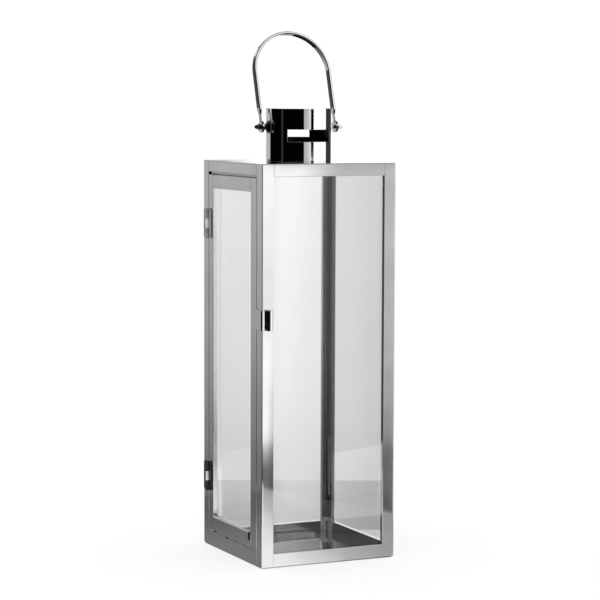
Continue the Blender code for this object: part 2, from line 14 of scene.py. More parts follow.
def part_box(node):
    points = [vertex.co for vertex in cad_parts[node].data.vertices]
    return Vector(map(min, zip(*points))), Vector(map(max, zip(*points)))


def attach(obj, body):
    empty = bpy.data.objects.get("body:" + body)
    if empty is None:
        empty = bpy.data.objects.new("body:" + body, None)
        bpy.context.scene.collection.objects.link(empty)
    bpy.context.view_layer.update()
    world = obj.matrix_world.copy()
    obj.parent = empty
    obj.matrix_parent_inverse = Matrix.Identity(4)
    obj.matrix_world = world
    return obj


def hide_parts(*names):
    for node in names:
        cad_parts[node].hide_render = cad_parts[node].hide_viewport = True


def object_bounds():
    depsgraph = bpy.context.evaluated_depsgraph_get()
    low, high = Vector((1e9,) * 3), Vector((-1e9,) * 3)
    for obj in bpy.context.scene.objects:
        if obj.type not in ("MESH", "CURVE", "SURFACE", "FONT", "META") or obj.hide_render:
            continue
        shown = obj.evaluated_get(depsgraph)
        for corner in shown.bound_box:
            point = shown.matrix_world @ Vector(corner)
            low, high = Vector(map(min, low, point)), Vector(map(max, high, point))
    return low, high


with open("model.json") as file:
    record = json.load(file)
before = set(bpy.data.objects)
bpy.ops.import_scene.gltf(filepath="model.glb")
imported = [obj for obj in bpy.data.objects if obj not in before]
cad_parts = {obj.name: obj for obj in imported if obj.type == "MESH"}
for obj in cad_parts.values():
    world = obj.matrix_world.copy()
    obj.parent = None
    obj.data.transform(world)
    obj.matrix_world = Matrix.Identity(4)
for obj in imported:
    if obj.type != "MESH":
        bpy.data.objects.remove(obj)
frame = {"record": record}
CAD_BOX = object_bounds()

mm = 0.001
X = Vector((1, 0, 0))
Y = Vector((0, 1, 0))
Z = Vector((0, 0, 1))

# Sheet metal, as the frame has it
SHEET = 1.0 * mm
HEM = 5.0 * mm
BEND_R = 0.4 * mm  # tight folds, so that the flat faces reach nearly to their edges
CORNER_R = 0.7 * mm
CORNER_EASE = 0.13 * mm  # how far the front left post's corner is pressed back
CORNER_PRESS = 2.6 * mm  # how far from the corner the press begins
SHEAR_EDGE = 0.18 * mm  # rounding of cut sheet edges
GLASS_EDGE = 0.4 * mm
GAP = 0.3 * mm  # the frame's clearance between pieces that touch
DOOR_STOP_H = 5.0 * mm
STEP_IN = 2.0 * mm  # how far the lintel steps in over the door
STEP_H = 2.4 * mm
DOOR_REACH = 0.6 * mm  # the stiles reach nearer the posts than in the CAD
LEAF_T = 0.8 * mm
LEAF_CORNER_R = 1.4 * mm
KNUCKLE_R = 1.8 * mm
PIN_R = 0.95 * mm
PIN_HEAD_R = 1.5 * mm
PIN_HEAD_H = 0.95 * mm
CLIP_T = 0.8 * mm
CLIP_BEND_R = 1.1 * mm
CLIP_SLOT = 1.2 * mm
CLIP_BRIDGE = 3.5 * mm
HOOK_DROP = 8.0 * mm  # how far the clip's hook comes down the rail's outer face
LATCH_T = 1.0 * mm
LATCH_BEND_R = 1.2 * mm
LATCH_CURL_X = 7.2 * mm  # from the door side's face to the curl's middle
LATCH_CURL_R = 3.0 * mm

# Chimney and its fasteners
CHIMNEY_EDGE_R = 0.8 * mm
VENT_HALF_ANGLE = 45
VENT_LOW = {"front": 21.8 * mm, "back": 26.3 * mm}  # above the roof
VENT_HIGH = 35.3 * mm
SCREW_R = 1.5 * mm
SCREW_HEAD_R = 2.8 * mm
BORE_R = 1.8 * mm
NUT_R = 3.2 * mm  # to the corners
NUT_FLAT = NUT_R * 0.86
NUT_CHAMFER = 0.6
DOME_R = 2.6 * mm  # the cap nuts' domes
HANDLE_LEAN = math.radians(16.5)
BAR_W = 8.0 * mm
BAR_T = 3.0 * mm
NECK_W = 4.5 * mm
NECK_T = 2.0 * mm
NECK_LOW = 12.0 * mm
NECK_HIGH = 21.0 * mm
HANDLE_LEG = 62.5 * mm
HANDLE_HALF_W = 46.5 * mm
EYE_R = 6.5 * mm
EYE_T = 2.6 * mm
EYE_EDGE = 0.5 * mm

# Camera
CAMERA_PLACE = Vector((-1.0672, -2.2719, 0.5132))
CAMERA_YAW = math.radians(25.21)
CAMERA_PITCH = math.radians(5.26)
CAMERA_ROLL = math.radians(0.17)
CAMERA_LENS = 135.84  # in mm, as the sensor's width
SENSOR_W = 36
AHEAD = Vector((math.sin(CAMERA_YAW), math.cos(CAMERA_YAW), 0))  # the camera's level heading
ASIDE = Vector((AHEAD.y, -AHEAD.x, 0))

# Studio cards round the lantern
WALL_R = 1.6
WALL_LOW = -0.7
WALL_HIGH = 1.6
SHADE_TOP = 0.9
POST_LINE = 0.394  # the far card's upper edge, with a dark light stand above it
BEHIND_LINE = 0.53  # the backdrop's upper edges: it is dark above them
SIDE_LINE = 0.475
CARD_HEADING = 290.6  # where the near card meets the far one, in degrees
SCREEN_AT = 2.6  # behind the lantern
SCREEN_TOP = 0.38

BODY_OF = {n: body for body, nodes in frame["record"]["behaviour"]["bodies"].items() for n in nodes}


# ---- mesh helpers


def arc(centre, radius, start, end, steps):
    """Points on an arc in the plane, angles in degrees."""
    angles = (math.radians(start + (end - start) * i / steps) for i in range(steps + 1))
    return [(centre[0] + radius * math.cos(a), centre[1] + radius * math.sin(a)) for a in angles]


def quarter(steps):
    """Angles from 0 to a quarter turn."""
    return [math.pi / 2 * k / steps for k in range(steps + 1)]


def rounded(points, radii, steps=8):
    """The polygon with the corners named in radii, {index: radius}, turned into arcs."""
    out = []
    for i, point in enumerate(points):
        here = Vector(point)
        if i not in radii:
            out.append(here)
            continue
        before = (Vector(points[i - 1]) - here).normalized()
        after = (Vector(points[(i + 1) % len(points)]) - here).normalized()
        half = before.angle(after) / 2
        reach = radii[i] / math.tan(half)
        centre = here + (before + after).normalized() * radii[i] / math.sin(half)
        start = here + before * reach - centre
        turn = start.angle_signed(here + after * reach - centre)
        out += [centre + Matrix.Rotation(-turn * k / steps, 2) @ start for k in range(steps + 1)]
    return out


def add_prism(bm, section, origin, across, up, along):
    """Adds a closed outline, drawn in the across-up plane at origin and pushed through along, to bm."""
    near = [bm.verts.new(origin + across * p[0] + up * p[1]) for p in section]
    far = [bm.verts.new(v.co + along) for v in near]
    bm.faces.new(near)
    bm.faces.new(far[::-1])
    for i in range(len(near)):
        j = (i + 1) % len(near)
        bm.faces.new((near[i], far[i], far[j], near[j]))
    return bm


def add_rings(bm, rings, closed=False):
    """Skins a row of vertex rings with quads. A ring of one vertex is a pole."""
    pairs = list(zip(rings, rings[1:]))
    if closed:
        pairs.append((rings[-1], rings[0]))
    for a, b in pairs:
        count = max(len(a), len(b))
        for k in range(count):
            n = (k + 1) % count
            if len(a) == 1:
                bm.faces.new((a[0], b[n], b[k]))
            elif len(b) == 1:
                bm.faces.new((a[k], a[n], b[0]))
            else:
                bm.faces.new((a[k], a[n], b[n], b[k]))


def add_capped(bm, rings):
    """Skins a row of vertex rings and closes both ends."""
    add_rings(bm, rings)
    bm.faces.new(rings[0])
    bm.faces.new(rings[-1])


def add_turned(bm, profile, origin, axis, steps):
    """Adds a solid of revolution. profile is (radius, height), from axis to axis or a closed ring."""
    side = axis.orthogonal().normalized()
    rings = []
    for radius, height in profile:
        centre = origin + axis * height
        if radius <= 0:
            rings.append([bm.verts.new(centre)])
            continue
        turns = (Matrix.Rotation(2 * math.pi * k / steps, 3, axis) for k in range(steps))
        rings.append([bm.verts.new(centre + turn @ side * radius) for turn in turns])
    add_rings(bm, rings, closed=profile[0][0] > 0)
    return bm


def finish_mesh(name, bm, mat, bevel=0.0, segments=3, smooth=30, limit=32):
    """Turns the bmesh into an object with smooth bends and, if bevel is given, rounded edges."""
    bmesh.ops.recalc_face_normals(bm, faces=bm.faces)
    mesh = bpy.data.meshes.new(name)
    bm.to_mesh(mesh)
    bm.free()
    mesh.shade_smooth()
    mesh.set_sharp_from_angle(angle=math.radians(smooth))
    mesh.materials.append(mat)
    obj = bpy.data.objects.new(name, mesh)
    bpy.context.scene.collection.objects.link(obj)
    if bevel:
        mod = obj.modifiers.new("Edges", "BEVEL")
        mod.width = bevel
        mod.segments = segments
        mod.limit_method = "ANGLE"
        mod.angle_limit = math.radians(limit)
        mod.harden_normals = True
    flats = obj.modifiers.new("Flats", "WEIGHTED_NORMAL")
    flats.keep_sharp = True
    flats.weight = 100
    return obj


def give_look(obj, mat, chosen):
    """Adds mat and gives it to the faces for which chosen(face) holds."""
    obj.data.materials.append(mat)
    for face in obj.data.polygons:
        face.material_index = int(chosen(face))


def stand_for(obj, node):
    """obj takes the place of a CAD node: its body and its space."""
    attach(obj, BODY_OF[node])
    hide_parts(node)
    return obj


# ---- material helpers


class Nodes:
    """A material's node tree with short ways to add and link nodes."""

    def __init__(self, name):
        self.mat = bpy.data.materials.new(name)
        self.mat.use_nodes = True
        self.tree = self.mat.node_tree
        self.shader = self.tree.nodes["Principled BSDF"]

    def add(self, kind, **inputs):
        """Adds a node. Keys are socket names with _ for each space, values are numbers or sockets."""
        node = self.tree.nodes.new(kind)
        for key, value in inputs.items():
            self.put(node.inputs[key.replace("_", " ")], value)
        return node

    def put(self, socket, value):
        if isinstance(value, bpy.types.NodeSocket):
            self.tree.links.new(value, socket)
        else:
            socket.default_value = value

    def place(self, scale=(1, 1, 1)):
        """Object coordinates, stretched by scale."""
        coords = self.add("ShaderNodeTexCoord").outputs["Object"]
        return self.add("ShaderNodeMapping", Vector=coords, Scale=scale).outputs["Vector"]

    def noise(self, vector, scale, detail=3.0, rough=0.55):
        node = self.add("ShaderNodeTexNoise", Vector=vector, Scale=scale, Detail=detail, Roughness=rough)
        return node.outputs["Fac"]

    def spread(self, value, low, high, start=0.35, end=0.65):
        """Maps value from start..end to low..high."""
        ends = {"From_Min": start, "From_Max": end, "To_Min": low, "To_Max": high}
        return self.add("ShaderNodeMapRange", Value=value, **ends).outputs["Result"]

    def math(self, operation, a, b):
        node = self.add("ShaderNodeMath")
        node.operation = operation
        self.put(node.inputs[0], a)
        self.put(node.inputs[1], b)
        return node.outputs["Value"]

    def tone(self, factor, dark, light):
        """A grey or colour that runs from dark to light."""
        node = self.add("ShaderNodeMix")
        node.data_type = "RGBA"
        self.put(node.inputs["Factor"], factor)
        node.inputs["A"].default_value = (*dark, 1)
        node.inputs["B"].default_value = (*light, 1)
        return node.outputs["Result"]

    def bump(self, height, strength, distance):
        node = self.add("ShaderNodeBump", Height=height, Strength=strength, Distance=distance)
        self.put(self.shader.inputs["Normal"], node.outputs["Normal"])

    def set(self, **inputs):
        for key, value in inputs.items():
            self.put(self.shader.inputs[key.replace("_", " ")], value)


def polished_steel(name, tint, rough, grain=(1, 1, 1), grain_depth=0.02):
    """Polished stainless with cloudy wipe marks and fine polishing lines, which grain stretches."""
    n = Nodes(name)
    plain = n.place()
    clouds = n.noise(plain, 24, 4)
    lines = n.noise(n.place(grain), 900, 2)
    light = [min(1, c * 1.04) for c in tint]
    dark = [c * 0.955 for c in tint]
    n.set(Metallic=1.0, Base_Color=n.tone(n.spread(clouds, 0, 1), dark, light))
    marks = n.spread(clouds, rough * 0.75, rough * 1.35)
    n.set(Roughness=n.math("ADD", marks, n.spread(lines, 0.0, rough * 0.35)))
    n.bump(lines, grain_depth, 0.02 * mm)
    return n.mat


def plain_steel(name, tint, rough, relief=0.08, metallic=1.0):
    """Duller metal: mottled, with fine pits."""
    n = Nodes(name)
    plain = n.place()
    mottle = n.noise(plain, 260, 5)
    pits = n.noise(plain, 1900, 2)
    dark = [c * 0.72 for c in tint]
    light = [min(1, c * 1.12) for c in tint]
    n.set(Metallic=metallic, Base_Color=n.tone(n.spread(mottle, 0, 1), dark, light))
    n.set(Roughness=n.spread(mottle, rough * 1.3, rough * 0.8))
    n.bump(n.math("ADD", mottle, n.math("MULTIPLY", pits, 0.5)), relief, 0.05 * mm)
    return n.mat


def clear_glass(name):
    """Float glass with a trace of green and a very faint wipe haze."""
    n = Nodes(name)
    haze = n.noise(n.place(), 18, 4)
    n.set(Base_Color=n.tone(n.spread(haze, 0, 1), (0.955, 0.968, 0.962), (0.968, 0.978, 0.973)))
    n.set(Roughness=n.spread(haze, 0.0, 0.012, 0.5, 0.8))
    n.set(Transmission_Weight=1.0, IOR=1.5)
    return n.mat


def dark_rubber(name):
    n = Nodes(name)
    grain = n.noise(n.place(), 1500, 3)
    n.set(Base_Color=n.tone(n.spread(grain, 0, 1), (0.012, 0.012, 0.013), (0.03, 0.03, 0.031)))
    n.set(Roughness=n.spread(grain, 0.45, 0.65))
    n.bump(grain, 0.1, 0.05 * mm)
    return n.mat


class Glow(Nodes):
    """A card's light, even or graded by place in the world, as each card's object is at the origin."""

    def __init__(self):
        super().__init__("glow")
        self.tree.nodes.remove(self.shader)
        self.shader = self.add("ShaderNodeEmission")
        output = self.tree.nodes["Material Output"]
        self.tree.links.new(self.shader.outputs["Emission"], output.inputs["Surface"])
        self.mat.cycles.emission_sampling = "NONE"

    def ramp(self, direction, stops):
        """A value that runs in straight lines through stops, each (metres along direction, value)."""
        place = self.add("ShaderNodeTexCoord").outputs["Object"]
        along = self.tree.nodes.new("ShaderNodeVectorMath")
        along.operation = "DOT_PRODUCT"
        self.put(along.inputs[0], place)
        along.inputs[1].default_value = direction
        low, high = stops[0][0], stops[-1][0]
        most = max(value for _, value in stops)
        node = self.tree.nodes.new("ShaderNodeValToRGB")
        self.put(node.inputs["Fac"], self.spread(along.outputs["Value"], 0, 1, low, high))
        elements = node.color_ramp.elements
        while len(elements) < len(stops):
            elements.new(0.5)
        for element, (distance, value) in zip(elements, stops):
            element.position = (distance - low) / (high - low)
            element.color = (value / most, value / most, value / most, 1)
        return self.math("MULTIPLY", node.outputs["Color"], most)

    def graded(self, *ramps):
        """Strength is the product of ramps, each (direction, stops)."""
        value = 1.0
        for direction, stops in ramps:
            value = self.math("MULTIPLY", value, self.ramp(direction, stops))
        self.put(self.shader.inputs["Strength"], value)
        return self

    def even(self, strength):
        self.shader.inputs["Strength"].default_value = strength
        return self

    def faded(self, direction, stops):
        """Lets what lies behind show through where the ramp falls to 0."""
        mix = self.tree.nodes.new("ShaderNodeMixShader")
        clear = self.tree.nodes.new("ShaderNodeBsdfTransparent")
        self.put(mix.inputs[0], self.ramp(direction, stops))
        self.tree.links.new(clear.outputs["BSDF"], mix.inputs[1])
        self.tree.links.new(self.shader.outputs["Emission"], mix.inputs[2])
        self.tree.links.new(mix.outputs["Shader"], self.tree.nodes["Material Output"].inputs["Surface"])
        return self


UPRIGHT = (1, 1, 0.02)  # the ways that polishing lines run
LEVEL = (0.02, 0.02, 1)
ALONG_Y = (1, 0.02, 1)
COARSE = (1, 1, 0.05)
STEEL_FINISH = {  # grey level, roughness, then the lines' way and depth
    "frame": (0.66, 0.045, UPRIGHT),
    "rail": (0.66, 0.045, LEVEL),
    "door": (0.64, 0.08, UPRIGHT),
    "door_rail": (0.64, 0.08, ALONG_Y),
    "roof": (0.62, 0.05, ALONG_Y),
    "plate": (0.62, 0.05, ALONG_Y),
    "chimney": (0.72, 0.035, (1, 1, 1), 0.005),
    "handle": (0.66, 0.06, COARSE),
    "latch": (0.68, 0.05, COARSE),
}
STEEL = {
    name: polished_steel(f"{name}_steel_look", (grey, grey, grey + 0.01), *finish)
    for name, (grey, *finish) in STEEL_FINISH.items()
}
# Lit and shaded copies of one hinge steel: painted light on the upper hinge, painted shade (near black) on
# the lower one
HINGE_LIT_AND_SHADED = {
    "upper": plain_steel("upper_hinge_look", (0.34, 0.34, 0.33), 0.5, 0.0, 0.25),
    "lower": plain_steel("lower_hinge_look", (0.05, 0.05, 0.05), 0.4, 0.005, 0.5),
}
# Painted shade: the handle's rounded edges near black, standing for the dark they mirror
HANDLE_EDGE_PAINTED_SHADE = plain_steel("handle_edge_painted_shade_look", (0.012, 0.012, 0.012), 0.3, 0.0, 0.5)
# Painted highlight: a brighter polish on the hinge stile's front return
RETURN_PAINTED_HIGHLIGHT = polished_steel("door_return_painted_highlight_look", (0.86, 0.86, 0.855), 0.12, UPRIGHT, 0.0)
# Lit and shaded copies of one screw steel: painted shade on the left side's boss, screw and nuts, painted
# light on the right side's
FASTENER_LIT_AND_SHADED = {
    "left": plain_steel("left_fastener_painted_shade_look", (0.05, 0.05, 0.052), 0.12, 0.002),
    "right": plain_steel("right_fastener_painted_light_look", (0.85, 0.85, 0.855), 0.12, 0.002),
}
# Painted highlight: a near-white grey for the door leaf's middle knuckle
KNUCKLE = plain_steel("knuckle_painted_highlight_look", (0.85, 0.85, 0.845), 0.4, 0.0, 0.2)
# Painted shade: a darker polish on the lintel's stepped-in lip, which sits in shadow
LIP = polished_steel("lip_painted_shade_look", (0.47, 0.47, 0.47), 0.06, ALONG_Y, 0.0)
# Mill finish on the inner faces, in a grey dark enough to paint the shade inside the frame
MILL_AND_PAINTED_SHADE = plain_steel("inner_mill_painted_shade_look", (0.30, 0.30, 0.30), 0.14, 0.004)
# Painted shade: darker still, for returns that face into shadow
SHADED = plain_steel("shaded_return_look", (0.09, 0.09, 0.09), 0.14, 0.004)
# Painted shade: the chimney's inner wall near black, as it lies in the closed cup's shadow
CHIMNEY_INSIDE_PAINTED_SHADE = plain_steel("chimney_inside_painted_shade_look", (0.035, 0.035, 0.036), 0.35, 0.02)
# Painted light: a near-white, unpolished grey standing for the light the corner clips catch inside the
# panes
CLIP = plain_steel("clip_painted_light_look", (0.97, 0.97, 0.965), 0.5, 0.0, 0.0)
DARK_CLIP = plain_steel("door_clip_look", (0.02, 0.02, 0.02), 0.5, 0.01, 0.3)
GLASS = clear_glass("float_glass_look")
RUBBER = dark_rubber("stud_rubber_look")


# ---- frame


def post_section(width, hem, ease):
    """Two flanges that meet at the corner (0, 0), each with a return of depth hem at its window edge."""
    inner = width - SHEET
    points = [
        (width, hem), (inner, hem), (inner, SHEET), (SHEET, SHEET), (SHEET, inner), (hem, inner),
        (hem, width), (0, width), (0, CORNER_PRESS), (ease, ease), (CORNER_PRESS, 0), (width, 0),
    ]
    return rounded(points, {7: BEND_R, 9: CORNER_R, 11: BEND_R})


def rail_section(height):
    """A face with a return at its window edge. First number is depth from the face, second is height."""
    inner = height - SHEET
    points = [(0, 0), (SHEET, 0), (SHEET, inner), (HEM, inner), (HEM, height), (0, height)]
    return rounded(points, {5: BEND_R})


def lintel_section(height, deep):
    """The door side's top rail: it steps in over the closed door, then goes down behind it as a stop."""
    face = height - DOOR_STOP_H
    step = face + STEP_H
    back = STEP_IN + SHEET
    points = [
        (0, 0), (SHEET, 0), (SHEET, face - SHEET), (back, face - SHEET), (back, step - SHEET),
        (deep, step - SHEET), (deep, height), (deep - SHEET, height), (deep - SHEET, step),
        (STEP_IN, step), (STEP_IN, face), (0, face),
    ]
    return rounded(points, {5: BEND_R, 9: BEND_R, 11: BEND_R})


def channel_section(width):
    """A face with a return at both edges, first number across, second depth."""
    points = [
        (0, 0), (width, 0), (width, HEM), (width - SHEET, HEM),
        (width - SHEET, SHEET), (SHEET, SHEET), (SHEET, HEM), (0, HEM),
    ]
    return rounded(points, {0: BEND_R, 1: BEND_R})


def make_posts():
    """Each post's returns stop above the floor plate, below which only its two faces go down."""
    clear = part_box("base_plate")[1].z + GAP
    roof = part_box("top_plate")[0].z
    corners = {"front_left": (-1, -1), "front_right": (1, -1), "back_right": (1, 1), "back_left": (-1, 1)}
    for name, (sx, sy) in corners.items():
        node = f"post_{name}"
        low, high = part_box(node)
        corner = Vector((low.x if sx < 0 else high.x, low.y if sy < 0 else high.y, 0))
        ease = CORNER_EASE if name == "front_left" else 0
        bm = bmesh.new()
        rings = []
        for level, hem in ((low.z, SHEET), (clear, SHEET), (clear, HEM), (roof, HEM)):
            section = post_section(high.x - low.x, hem, ease)
            places = [corner - X * sx * p[0] - Y * sy * p[1] + Z * level for p in section]
            rings.append([bm.verts.new(place) for place in places])
        add_capped(bm, rings)
        bmesh.ops.remove_doubles(bm, verts=bm.verts, dist=0.001 * mm)
        post = finish_mesh(f"{node}_sheet", bm, STEEL["frame"], SHEAR_EDGE)
        outer = [(-X * sx, -corner.x * sx), (-Y * sy, -corner.y * sy)]
        # the back right post's front-facing returns get painted shade
        finish_inside(post, outer, -Y if name == "back_right" else None)
        stand_for(post, node)


def finish_inside(obj, outer, shaded=None):
    """Gives the backs of the outer faces the dull mill finish, whose dark grey is also painted shade inside
    the frame.
    outer lists their (inward direction, place).

    The returns keep the polish, apart from their faces in the shaded direction, which get painted shade.
    """
    obj.data.materials.append(MILL_AND_PAINTED_SHADE)
    obj.data.materials.append(SHADED)
    for face in obj.data.polygons:
        depth = min(face.center.dot(inward) - place for inward, place in outer)
        if depth > 1.5 * SHEET:
            face.material_index = 2 if shaded and face.normal.dot(shaded) > 0.5 else 0
        else:
            face.material_index = int(depth > 0.6 * SHEET)


RAILS = {  # node: outward direction of its side, and which way its face runs from its outer edge
    "rail_front_bottom": (-Y, 1), "rail_front_top": (-Y, -1),
    "rail_back_bottom": (Y, 1), "rail_back_top": (Y, -1),
    "rail_right_bottom": (X, 1), "rail_right_top": (X, -1),
    "door_sill": (-X, 1), "door_lintel": (-X, -1),
}


def make_rails():
    """Rails reach the posts at both ends, and the upper ones reach the roof."""
    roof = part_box("top_plate")[0].z
    for node, (out, rise) in RAILS.items():
        low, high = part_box(node)
        along = out.cross(Z)
        plane = (high if out.dot(X + Y) > 0 else low).dot(out)
        half = abs(along.dot(high - low)) / 2 + GAP
        start = out * plane - along * half
        start.z = low.z if rise > 0 else roof
        height = high.z - low.z if rise > 0 else roof - low.z
        if node == "door_lintel":
            section = lintel_section(height, high.x - low.x)
        else:
            section = rail_section(height)
        bm = add_prism(bmesh.new(), section, start, -out, Z * rise, along * half * 2)
        rail = finish_mesh(f"{node}_sheet", bm, STEEL["rail"], SHEAR_EDGE)
        if node == "door_lintel":
            # the stepped-in lip gets the painted shade
            give_look(rail, LIP, lambda face: face.center.x > low.x + 0.6 * STEP_IN)
        else:
            # the sill's upward-facing returns, seen through the gap under the door, get painted shade
            finish_inside(rail, [(-out, -plane)], Z if node == "door_sill" else None)
        stand_for(rail, node)


def square_ring(bm, half, level, side_steps=1):
    """A ring of vertices round a square with rounded corners."""
    corners = [(-half, -half), (half, -half), (half, half), (-half, half)]
    outline = rounded(corners, dict.fromkeys(range(4), CORNER_R), 6)
    ring = []
    for i, point in enumerate(outline):
        after = outline[(i + 1) % len(outline)]
        steps = side_steps if (after - point).length > half else 1
        ring += [point.lerp(after, k / steps) for k in range(steps)]
    return [bm.verts.new((p.x, p.y, level)) for p in ring]


def make_plates():
    low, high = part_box("base_plate")
    edge = 0.35 * mm
    inner = high.x - edge
    levels = [(inner, low.z), (high.x, low.z + edge), (high.x, high.z - edge), (inner, high.z)]
    bm = bmesh.new()
    add_capped(bm, [square_ring(bm, half, level) for half, level in levels])
    # the floor plate's dark grey paints a shadow line under the frame's bottom edges
    stand_for(finish_mesh("floor_plate", bm, MILL_AND_PAINTED_SHADE, 0.1 * mm), "base_plate")

    low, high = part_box("floor_tray")
    bend = 0.9 * mm
    inner = high.x - SHEET
    levels = [(inner, high.z - SHEET), (inner, low.z), (high.x, low.z)]
    levels += arc((high.x - bend, high.z - bend), bend, 0, 90, 6)
    bm = bmesh.new()
    add_capped(bm, [square_ring(bm, half, level) for half, level in levels])
    stand_for(finish_mesh("tray_sheet", bm, STEEL["plate"], 0.08 * mm), "floor_tray")

    low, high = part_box("top_plate")
    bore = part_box("chimney")[1].x - SHEET - GAP
    edge = 0.15 * mm
    nip = 0.3 * edge
    inner = high.x - edge
    levels = [(inner, low.z), (high.x - nip, low.z + nip), (high.x, (low.z + high.z) / 2)]
    levels += [(high.x - nip, high.z - nip), (inner, high.z)]
    bm = bmesh.new()
    rings = [square_ring(bm, half, level, 30) for half, level in levels]
    ways = [Vector((v.co.x, v.co.y, 0)).normalized() for v in rings[0]]
    for level in (high.z, low.z):
        rings.append([bm.verts.new(way * bore + Z * level) for way in ways])
    add_rings(bm, rings, closed=True)
    stand_for(finish_mesh("roof_plate", bm, STEEL["roof"], 0.08 * mm), "top_plate")


# ---- glass


def make_panes():
    for node in ("pane_front", "pane_back", "pane_right", "door_glass"):
        low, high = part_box(node)
        bm = bmesh.new()
        bmesh.ops.create_cube(bm, size=1)
        bmesh.ops.scale(bm, vec=high - low, verts=bm.verts)
        bmesh.ops.translate(bm, vec=(low + high) / 2, verts=bm.verts)
        bmesh.ops.bevel(bm, geom=bm.edges[:], offset=GLASS_EDGE, segments=2, profile=0.5, affect="EDGES")
        stand_for(finish_mesh(f"{node}_sheet", bm, GLASS, smooth=20), node)


# ---- clips


def bent_sheet(name, mat, columns, bridge, thick, place):
    """A cut and bent sheet.

    columns are (distance along the strip, lower edge, upper edge). A slot's columns have no lower edge.
    bridge is the level the slots stop at, and place(distance, level) gives the outer surface's point.
    """
    bm = bmesh.new()
    rows = []
    for distance, low, high in columns:
        foot = low or 0
        levels = [foot, min(bridge, high - 0.3 * (high - foot)), high]
        rows.append([bm.verts.new(place(distance, level)) for level in levels])
    for (_, low_a, _), (_, low_b, _), a, b in zip(columns, columns[1:], rows, rows[1:]):
        bm.faces.new((a[1], b[1], b[2], a[2]))
        if low_a is not None and low_b is not None:
            bm.faces.new((a[0], b[0], b[1], a[1]))
    bmesh.ops.delete(bm, geom=[v for v in bm.verts if not v.link_faces], context="VERTS")
    bmesh.ops.recalc_face_normals(bm, faces=bm.faces)
    bmesh.ops.solidify(bm, geom=bm.faces[:], thickness=thick)
    return finish_mesh(name, bm, mat, 0.1 * mm, 2, 35, 40)


def leaf_columns(width, start, height, steps=7):
    """Columns of one clip leaf from start to its free edge at width, whose upper corner is rounded."""
    radius = 0.5 * width
    out = [(start, 0.0, height)]
    for a in quarter(steps):
        out.append((width - radius + radius * math.sin(a), 0.0, height - radius * (1 - math.cos(a))))
    return out


def make_corner_clips():
    """Clips on the panes' inner corners. The shallow ones are flat, the others hold two panes."""
    for depth, sy in (("front", -1), ("back", 1)):
        for side, sx in (("left", -1), ("right", 1)):
            for level, rise in (("bottom", 1), ("top", -1)):
                make_corner_clip(f"clip_{depth}_{side}_{level}", sx, sy, rise)


def make_corner_clip(node, sx, sy, rise):
    low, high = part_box(node)
    height = high.z - low.z
    corner = Vector((
        low.x if sx < 0 else high.x, low.y if sy < 0 else high.y, low.z if rise > 0 else high.z,
    ))
    across_x, across_y = high.x - low.x, high.y - low.y
    turn = CLIP_BEND_R * math.pi / 2

    def flat(distance, level):
        return corner - X * sx * distance + Z * rise * level

    def bent(distance, level):
        if distance < -turn / 2:
            plan = X * -sx * (CLIP_BEND_R - distance - turn / 2)
        elif distance > turn / 2:
            plan = Y * -sy * (CLIP_BEND_R + distance - turn / 2)
        else:
            angle = math.pi * (0.25 + distance / turn / 2)
            plan = (X * -sx * (1 - math.sin(angle)) + Y * -sy * (1 - math.cos(angle))) * CLIP_BEND_R
        return corner + plan + Z * rise * level

    if across_y < 2 * mm:
        place, bridge = flat, height * 0.5
        columns = leaf_columns(across_x, 0.2 * mm, height)
    else:
        place, bridge = bent, height - CLIP_BRIDGE
        start = CLIP_T + CLIP_SLOT
        offset = turn / 2 - CLIP_BEND_R
        first = [(-(d + offset), foot, top) for d, foot, top in leaf_columns(across_x, start, height)]
        second = [(d + offset, foot, top) for d, foot, top in leaf_columns(across_y, start, height)]
        between = [((start + offset) * k / 6, None, height) for k in range(-5, 6)]
        columns = first[::-1] + between + second
    thick = CLIP_T if sx * sy * rise > 0 else -CLIP_T  # the corner mirrors the faces' winding
    # the corner clips get the painted light
    stand_for(bent_sheet(f"{node}_sheet", CLIP, columns, bridge, thick, place), node)


def make_door_clips():
    """Stepped tabs on the door's rails, each with a tongue over the pane's inner side."""
    pane_low, pane_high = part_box("door_glass")
    for name, rise in (("upper_hinge", -1), ("upper_latch", -1), ("lower_hinge", 1), ("lower_latch", 1)):
        node = f"door_clip_{name}"
        low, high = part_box(node)
        foot = low.z if rise > 0 else high.z
        tall = high.z - low.z
        deep = high.x - low.x
        riser = abs((pane_low.z if rise > 0 else pane_high.z) - foot) - GAP - CLIP_T
        section = [
            (0, 0), (riser + CLIP_T, 0), (riser + CLIP_T, deep - CLIP_T), (tall, deep - CLIP_T),
            (tall, deep), (riser, deep), (riser, CLIP_T), (0, CLIP_T),
        ]
        section = rounded(section, {1: 0.7 * mm, 5: 0.7 * mm, 3: 0.3 * mm, 4: 0.3 * mm})
        start = Vector((low.x, low.y, foot))
        bm = add_prism(bmesh.new(), section, start, Z * rise, X, Y * (high.y - low.y))
        if name == "lower_latch":
            add_hook(bm, low, high)
        stand_for(finish_mesh(f"{node}_sheet", bm, DARK_CLIP, 0.2 * mm), node)


def add_hook(bm, low, high):
    """The end of the visible clip, bent over the door rail's upper edge and down its outer face."""
    rail_low, rail_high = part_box("door_rail_bottom")
    play = 0.1 * mm
    margin = 0.5 * mm
    inner, top = rail_low.x - play, rail_high.z + play
    outer, crown = inner - CLIP_T, top + CLIP_T
    foot = rail_high.z - HOOK_DROP
    root = low.x + 0.5 * CLIP_T
    points = [(outer, foot), (inner, foot), (inner, top), (root, top), (root, crown), (outer, crown)]
    start = Vector((0, low.y + margin, 0))
    add_prism(bm, rounded(points, {5: 0.6 * mm}), start, X, Z, Y * (high.y - low.y - 2 * margin))


# ---- door


